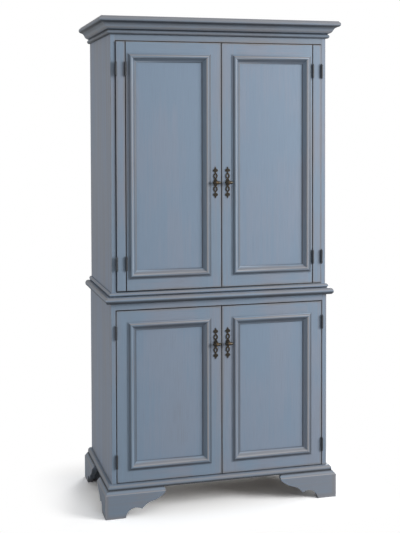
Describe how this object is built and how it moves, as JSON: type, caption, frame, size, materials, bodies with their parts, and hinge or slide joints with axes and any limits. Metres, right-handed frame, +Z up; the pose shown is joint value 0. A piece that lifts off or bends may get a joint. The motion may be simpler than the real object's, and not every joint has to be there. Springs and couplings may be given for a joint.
{
  "type": "tv armoire",
  "caption": "Tall painted cabinet on bracket feet; upper doors on hinged strips fold back along the sides of a television bay, and lower doors close a shelved cupboard.",
  "frame": {"origin": "on the floor under the middle of the overall box", "axes": "+X to the right seen from the front, +Y towards the back, +Z up; the doors face -Y"},
  "size_m": [1.016, 0.55, 2.007],
  "materials": {
    "glazed_paint": "blue-grey paint with a brushed dark glaze and rubbed edges, satin",
    "glazed_panel": "blue-grey paint, brushed vertically, satin",
    "glazed_moulding": "blue-grey paint rubbed grey on the ridges, dark glaze in the hollows",
    "inner_wood": "plain blue-grey paint, satin",
    "back_board": "unpainted plywood",
    "hinge_bronze": "dark oiled bronze",
    "aged_brass_plate": "darkened brass, worn on the high spots",
    "aged_brass_knob": "darkened brass, rubbed bright on top",
    "zinc_steel": "zinc plated",
    "pin_brass": "plain brass",
    "catch_plastic": "brown moulded plastic"
  },
  "bodies": {
    "cabinet": {"lower_side_left": "glazed_paint", "lower_side_right": "glazed_paint", "lower_floor": "inner_wood", "lower_top_rail": "glazed_paint", "lower_back": "back_board", "lower_shelf": "inner_wood", "lower_shelf_pins": "pin_brass", "lower_top_board": "glazed_paint", "base_frame": "glazed_paint", "foot_front_left": "glazed_paint", "foot_rear_left": "glazed_paint", "foot_front_right": "glazed_paint", "foot_rear_right": "glazed_paint", "upper_side_left": "glazed_paint", "upper_side_right": "glazed_paint", "upper_floor": "inner_wood", "upper_top_rail": "glazed_paint", "upper_top_panel": "inner_wood", "upper_back": "back_board", "waist_bead": "glazed_moulding", "crown_moulding": "glazed_moulding", "section_screws": "zinc_steel", "door_stops": "inner_wood", "door_catches": "catch_plastic", "case_hinge_leaves": "hinge_bronze", "case_hinge_pins": "hinge_bronze"},
    "left_strip": {"left_strip": "glazed_paint", "left_strip_hinge_leaves": "hinge_bronze", "left_strip_hinge_pins": "hinge_bronze"},
    "right_strip": {"right_strip": "glazed_paint", "right_strip_hinge_leaves": "hinge_bronze", "right_strip_hinge_pins": "hinge_bronze"},
    "upper_left_door": {"upper_left_door_frame": "glazed_paint", "upper_left_door_panel": "glazed_panel", "upper_left_door_moulding": "glazed_moulding", "upper_left_door_strike": "zinc_steel", "upper_left_handle_plate": "aged_brass_plate", "upper_left_handle_knob": "aged_brass_knob", "upper_left_door_hinge_leaves": "hinge_bronze"},
    "upper_right_door": {"upper_right_door_frame": "glazed_paint", "upper_right_door_panel": "glazed_panel", "upper_right_door_moulding": "glazed_moulding", "upper_right_door_strike": "zinc_steel", "upper_right_handle_plate": "aged_brass_plate", "upper_right_handle_knob": "aged_brass_knob", "upper_right_door_hinge_leaves": "hinge_bronze"},
    "lower_left_door": {"lower_left_door_frame": "glazed_paint", "lower_left_door_panel": "glazed_panel", "lower_left_door_moulding": "glazed_moulding", "lower_left_door_strike": "zinc_steel", "lower_left_handle_plate": "aged_brass_plate", "lower_left_handle_knob": "aged_brass_knob", "lower_left_door_hinge_leaves": "hinge_bronze"},
    "lower_right_door": {"lower_right_door_frame": "glazed_paint", "lower_right_door_panel": "glazed_panel", "lower_right_door_moulding": "glazed_moulding", "lower_right_door_strike": "zinc_steel", "lower_right_handle_plate": "aged_brass_plate", "lower_right_handle_knob": "aged_brass_knob", "lower_right_door_hinge_leaves": "hinge_bronze"}
  },
  "joints": [
    {"name": "left_strip_hinge", "type": "hinge", "parent": "cabinet", "child": "left_strip", "pos_m": [-0.4375, -0.236, 1.4105], "axis": [0, 0, -1], "range_deg": [0, 180]},
    {"name": "upper_left_door_hinge", "type": "hinge", "parent": "left_strip", "child": "upper_left_door", "pos_m": [-0.3985, -0.236, 1.4105], "axis": [0, 0, -1], "range_deg": [0, 87]},
    {"name": "lower_left_door_hinge", "type": "hinge", "parent": "cabinet", "child": "lower_left_door", "pos_m": [-0.4415, -0.234, 0.4825], "axis": [0, 0, -1], "range_deg": [0, 180]},
    {"name": "right_strip_hinge", "type": "hinge", "parent": "cabinet", "child": "right_strip", "pos_m": [0.4375, -0.236, 1.4105], "axis": [0, 0, 1], "range_deg": [0, 180]},
    {"name": "upper_right_door_hinge", "type": "hinge", "parent": "right_strip", "child": "upper_right_door", "pos_m": [0.3985, -0.236, 1.4105], "axis": [0, 0, 1], "range_deg": [0, 87]},
    {"name": "lower_right_door_hinge", "type": "hinge", "parent": "cabinet", "child": "lower_right_door", "pos_m": [0.4415, -0.234, 0.4825], "axis": [0, 0, 1], "range_deg": [0, 180]}
  ]
}
